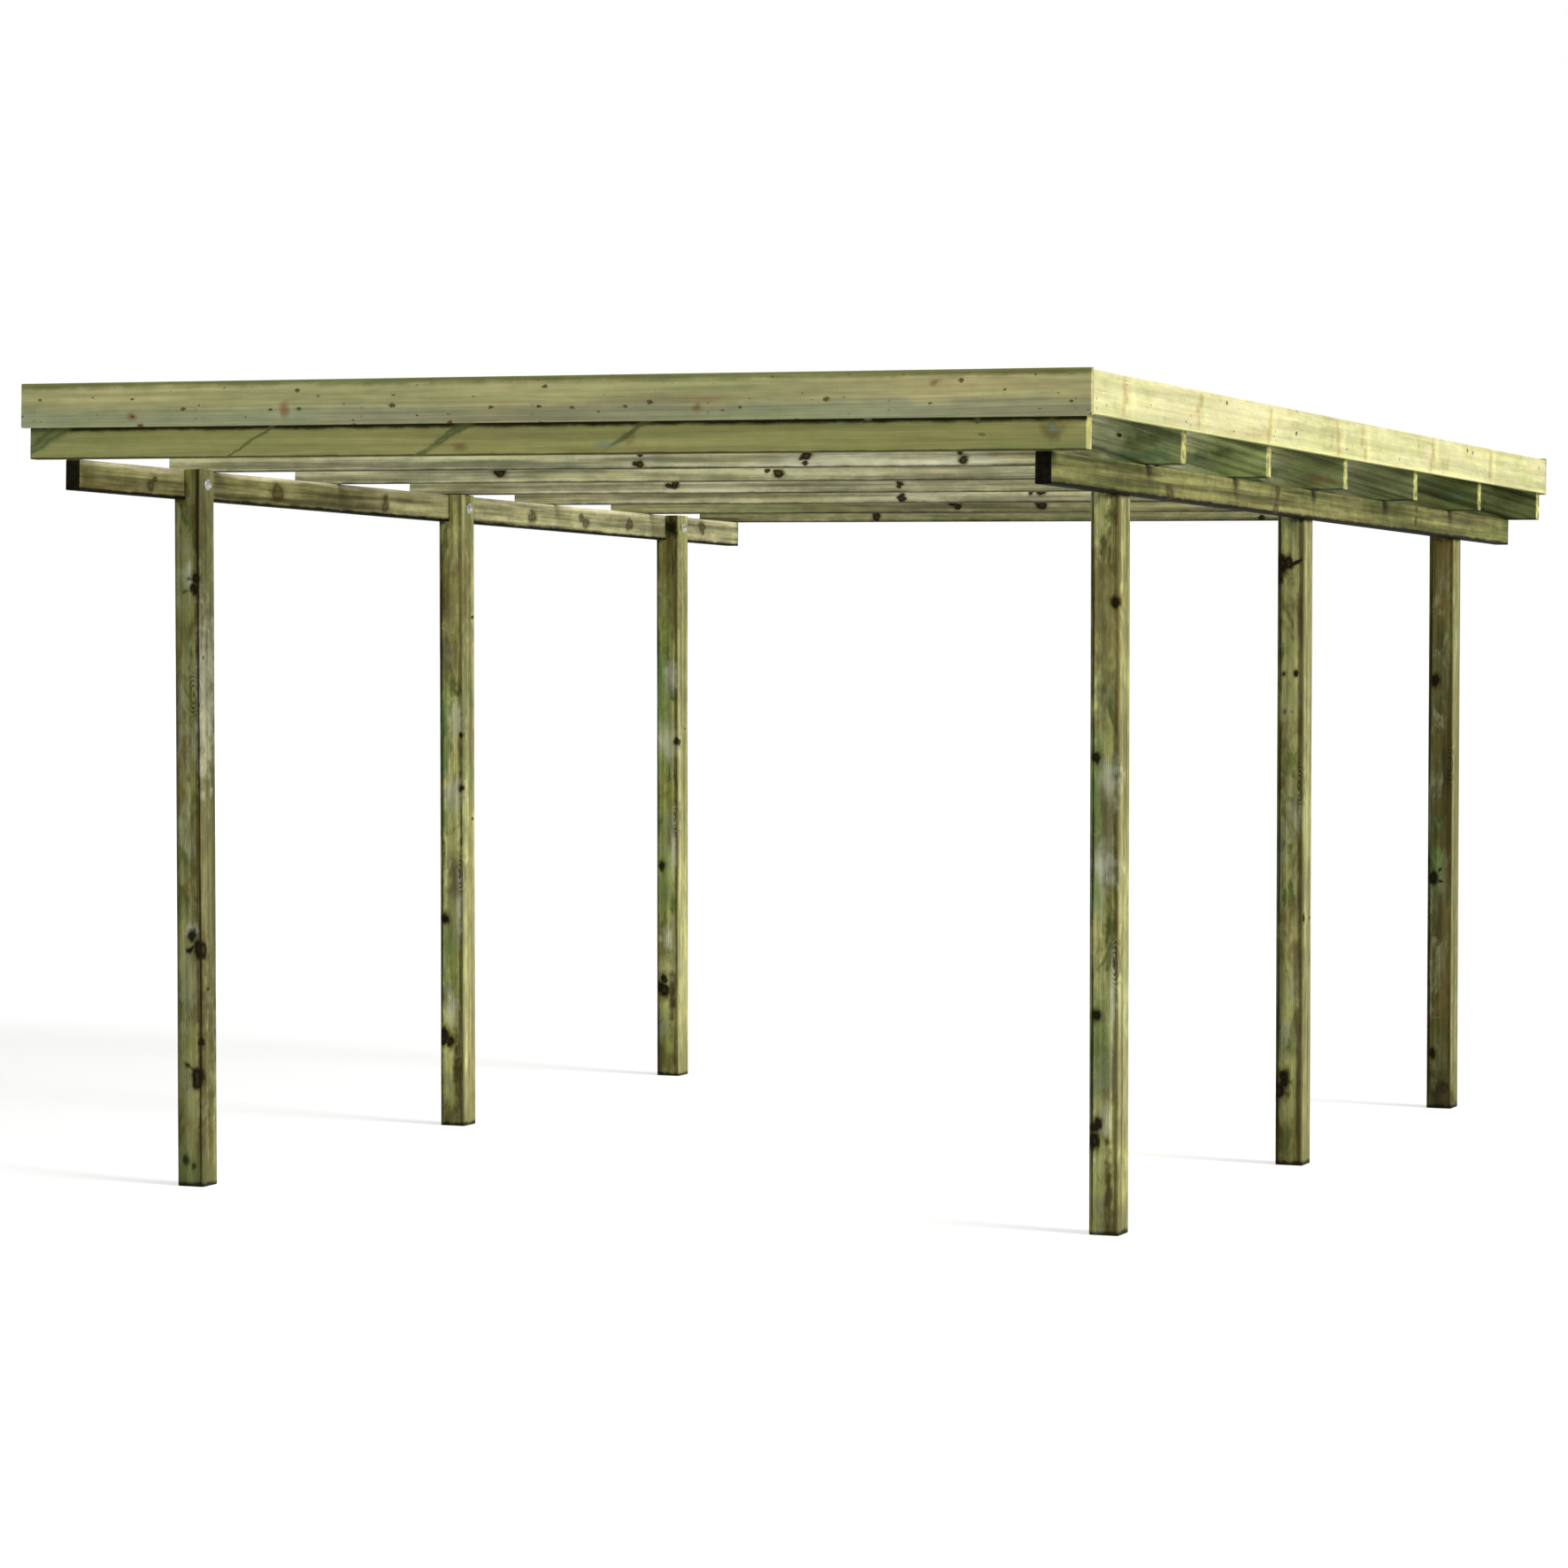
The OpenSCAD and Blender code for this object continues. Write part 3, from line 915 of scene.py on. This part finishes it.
def sheet_material():
    g = Graph("clear_sheet")
    place = g.node("ShaderNodeTexCoord").outputs["Object"]
    dust = g.noise(g.vector("MULTIPLY", place, (3, 1.2, 3)), detail=4, roughness=0.6)
    grain = g.noise(g.vector("MULTIPLY", place, (40, 40, 40)), detail=3, roughness=0.6)
    colour = g.mix(g.steps(dust, 0.4, 0.75), srgb(236, 240, 236), srgb(214, 216, 200))
    g.put(g.shader.inputs["Base Color"], colour)
    g.put(g.shader.inputs["Roughness"], g.steps(grain, 0.3, 0.7, 0.16, 0.30))
    g.shader.inputs["Alpha"].default_value = 0.32
    g.shader.inputs["IOR"].default_value = 1.53
    return g.material


def steel_material():
    g = Graph("zinc_steel")
    place = g.node("ShaderNodeTexCoord").outputs["Object"]
    spangle = g.node("ShaderNodeTexVoronoi", {"Vector": place, "Scale": 320.0})
    tone = g.split(spangle.outputs["Color"])[0]
    colour = g.mix(g.steps(tone, 0.0, 1.0), srgb(196, 199, 202), srgb(226, 228, 230))
    g.put(g.shader.inputs["Base Color"], colour)
    g.put(g.shader.inputs["Roughness"], g.steps(tone, 0.0, 1.0, 0.28, 0.42))
    g.shader.inputs["Metallic"].default_value = 1.0
    return g.material


def screw_material():
    """Small screws with a dull bronze coat."""
    g = Graph("coated_screw")
    place = g.node("ShaderNodeTexCoord").outputs["Object"]
    wear = g.noise(g.vector("MULTIPLY", place, (300, 300, 300)), detail=3)
    colour = g.mix(g.steps(wear, 0.3, 0.7), srgb(112, 104, 78), srgb(140, 130, 96))
    g.put(g.shader.inputs["Base Color"], colour)
    g.put(g.shader.inputs["Roughness"], g.steps(wear, 0.3, 0.7, 0.38, 0.55))
    g.shader.inputs["Metallic"].default_value = 1.0
    return g.material


# Profiles of the fixings, (radius, height) from foot to top. The screw heads have a round recess.
COACH_WASHER = ((0.016, 0), (0.017, 0.0006), (0.017, 0.0036), (0.0163, 0.0042))
COACH_HEAD = ((0.0104, 0), (0.0104, 0.0062), (0.0098, 0.0072), (0.0078, 0.0080))
RIM_SCREW = ((0.0028, 0), (0.0035, 0.0014), (0.0035, 0.0019), (0.001925, 0.0020), (0.00147, 0.0012))
SHEET_WASHER = ((0.0095, 0), (0.0095, 0.0018), (0.0045, 0.0032))
SHEET_SCREW = ((0.0046, 0), (0.0046, 0.0045), (0.0040, 0.0052))
RIM_SCREW_LIFT = -0.0022

# The wave of the sheets, and every how many waves there is a screw
SHEET_PITCH = 0.076
SCREW_WAVES = 3


def fixings(name, made, material):
    piece = add_mesh(name, made, Matrix.Identity(4))
    piece.data.materials.append(material)
    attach(piece, "root")


def make_coach_screws():
    """A coach screw with a broad washer through each post's tongue into the beam, from the inner side."""
    steel = steel_material()
    for row in ROWS:
        for side_name, side in SIDES.items():
            low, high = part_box(f"post_{row}_{side_name}")
            beam = middle(f"beam_{side_name}")
            y = (low.y + high.y) / 2
            z = beam.z - (y - beam.y) * math.tan(FALL)
            place = Vector((low.x if side > 0 else high.x, y, z))
            normal = Vector((-side, 0, 0))
            made = bmesh.new()
            lathe(made, place, normal, COACH_WASHER, steps=36, lift=-0.001)
            lathe(made, place, normal, COACH_HEAD, steps=6, lift=0.0030)
            fixings(f"coach_screw_{row}_{side_name}", made, steel)


def make_side_rim_screws(coated):
    """Two screws through the rim into each rafter end."""
    for side_name, side in SIDES.items():
        node = f"rim_{side_name}"
        size, centre = roof_size(node), middle(node)
        face = Vector((side * size.x / 2, 0, 0))
        made = bmesh.new()
        for rafter in RAFTERS:
            along = (middle(rafter) - centre).dot(ROOF_ALONG)
            for up in (-0.36, -0.14):
                place = centre + ROOF_ALONG * along + ROOF_UP * (up * size.z) + face
                lathe(made, place, (side, 0, 0), RIM_SCREW, steps=14, lift=RIM_SCREW_LIFT)
        fixings(f"rim_screws_{side_name}", made, coated)


def make_end_rim_screws(coated, columns=7):
    """Pairs of screws through the rim into the first and the last rafter."""
    for end, sign in (("front", -1), ("back", 1)):
        node = f"rim_{end}"
        size, centre = roof_size(node), middle(node)
        normal = ROOF_ALONG * sign
        made = bmesh.new()
        for i in range(columns):
            across = (size.x - 0.09) * (i / (columns - 1) - 0.5)
            for up in (-0.34, -0.14):
                place = centre + Vector((across, 0, 0)) + ROOF_UP * (up * size.z) + normal * (size.y / 2)
                lathe(made, place, normal, RIM_SCREW, steps=14, lift=RIM_SCREW_LIFT)
        fixings(f"rim_screws_{end}", made, coated)


def make_sheet_screws(coated):
    """Roofing screws with washers on the crests, over every rafter but the first and the last."""
    for node in SHEETS:
        size, centre = roof_size(node), middle(node)
        waves = round((size.x - 0.03) / SHEET_PITCH)
        made = bmesh.new()
        for rafter in RAFTERS[1:-1]:
            along = (middle(rafter) - centre).dot(ROOF_ALONG)
            for wave in range(1, waves, SCREW_WAVES):
                across = (wave - (waves - 1) / 2) * SHEET_PITCH
                place = centre + Vector((across, 0, 0)) + ROOF_ALONG * along + ROOF_UP * (size.z / 2)
                lathe(made, place, ROOF_UP, SHEET_WASHER, steps=14, lift=-0.0008)
                lathe(made, place, ROOF_UP, SHEET_SCREW, steps=6, lift=0.0022)
        fixings(f"{node}_screws", made, coated)


def dress_sheets():
    clear = sheet_material()
    for node in SHEETS:
        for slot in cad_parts[node].material_slots:
            slot.material = clear


# ---------------- studio

def light_path_mix(tree, seen, unseen):
    """Mixes two shaders: seen for what the camera, mirrors and clear sheets show, unseen for the rest."""
    path = tree.nodes.new("ShaderNodeLightPath")
    total = path.outputs["Is Camera Ray"]
    for ray in ("Is Glossy Ray", "Is Transmission Ray"):
        added = tree.nodes.new("ShaderNodeMath")
        added.operation = "MAXIMUM"
        tree.links.new(total, added.inputs[0])
        tree.links.new(path.outputs[ray], added.inputs[1])
        total = added.outputs[0]
    mixed = tree.nodes.new("ShaderNodeMixShader")
    tree.links.new(total, mixed.inputs[0])
    tree.links.new(unseen, mixed.inputs[1])
    tree.links.new(seen, mixed.inputs[2])
    return mixed.outputs[0]


def make_world():
    world = bpy.data.worlds.new("studio")
    bpy.context.scene.world = world
    world.use_nodes = True
    tree = world.node_tree
    soft = tree.nodes["Background"]
    soft.inputs["Color"].default_value = (0.96, 0.98, 1.0, 1)
    soft.inputs["Strength"].default_value = 0.28
    white = tree.nodes.new("ShaderNodeBackground")
    white.inputs["Color"].default_value = (1, 1, 1, 1)
    white.inputs["Strength"].default_value = 1.0
    mixed = light_path_mix(tree, white.outputs[0], soft.outputs[0])
    tree.links.new(mixed, tree.nodes["World Output"].inputs["Surface"])


def make_floor():
    mesh = bpy.data.meshes.new("floor")
    reach = 80.0
    mesh.from_pydata([(-reach, -reach, 0), (reach, -reach, 0), (reach, reach, 0), (-reach, reach, 0)], [],
                     [(0, 1, 2, 3)])
    floor = bpy.data.objects.new("floor", mesh)
    bpy.context.scene.collection.objects.link(floor)
    floor.location.z = cad_low.z - 0.0005
    material = bpy.data.materials.new("floor_pale")
    material.use_nodes = True
    tree = material.node_tree
    plain = tree.nodes["Principled BSDF"]
    plain.inputs["Base Color"].default_value = (0.82, 0.82, 0.80, 1)
    plain.inputs["Roughness"].default_value = 1.0
    plain.inputs["Specular IOR Level"].default_value = 0.0
    lift = tree.nodes.new("ShaderNodeEmission")
    lift.inputs["Strength"].default_value = 0.6
    bright = tree.nodes.new("ShaderNodeAddShader")
    tree.links.new(plain.outputs[0], bright.inputs[0])
    tree.links.new(lift.outputs[0], bright.inputs[1])
    mixed = light_path_mix(tree, bright.outputs[0], plain.outputs[0])
    tree.links.new(mixed, tree.nodes["Material Output"].inputs["Surface"])
    mesh.materials.append(material)


def make_lights():
    sun = bpy.data.lights.new("key", "SUN")
    sun.energy = 3.0
    sun.angle = math.radians(24)
    sun.color = (1.0, 0.985, 0.955)
    key = bpy.data.objects.new("key", sun)
    # From the right, a little to the front
    key.rotation_euler = Vector((0.95, -0.12, 0.42)).to_track_quat("Z", "Y").to_euler()
    bpy.context.scene.collection.objects.link(key)


def make_camera():
    data = bpy.data.cameras.new("camera")
    data.lens = CAMERA_LENS
    data.sensor_width = 36
    data.clip_end = 400
    camera = bpy.data.objects.new("camera", data)
    camera.location = CAMERA_PLACE
    camera.rotation_euler = (math.radians(90 - CAMERA_DOWN), 0, math.radians(CAMERA_TURN))
    bpy.context.scene.collection.objects.link(camera)
    bpy.context.scene.camera = camera


make_camera()
make_world()
make_floor()
make_lights()
bpy.context.scene.view_settings.view_transform = "Standard"

make_posts()
make_beams()
make_front_rafter()
make_rafters()
make_end_rims()
make_side_rims()
dress_sheets()
make_coach_screws()
coated = screw_material()
make_side_rim_screws(coated)
make_end_rim_screws(coated)
make_sheet_screws(coated)

bpy.context.view_layer.update()
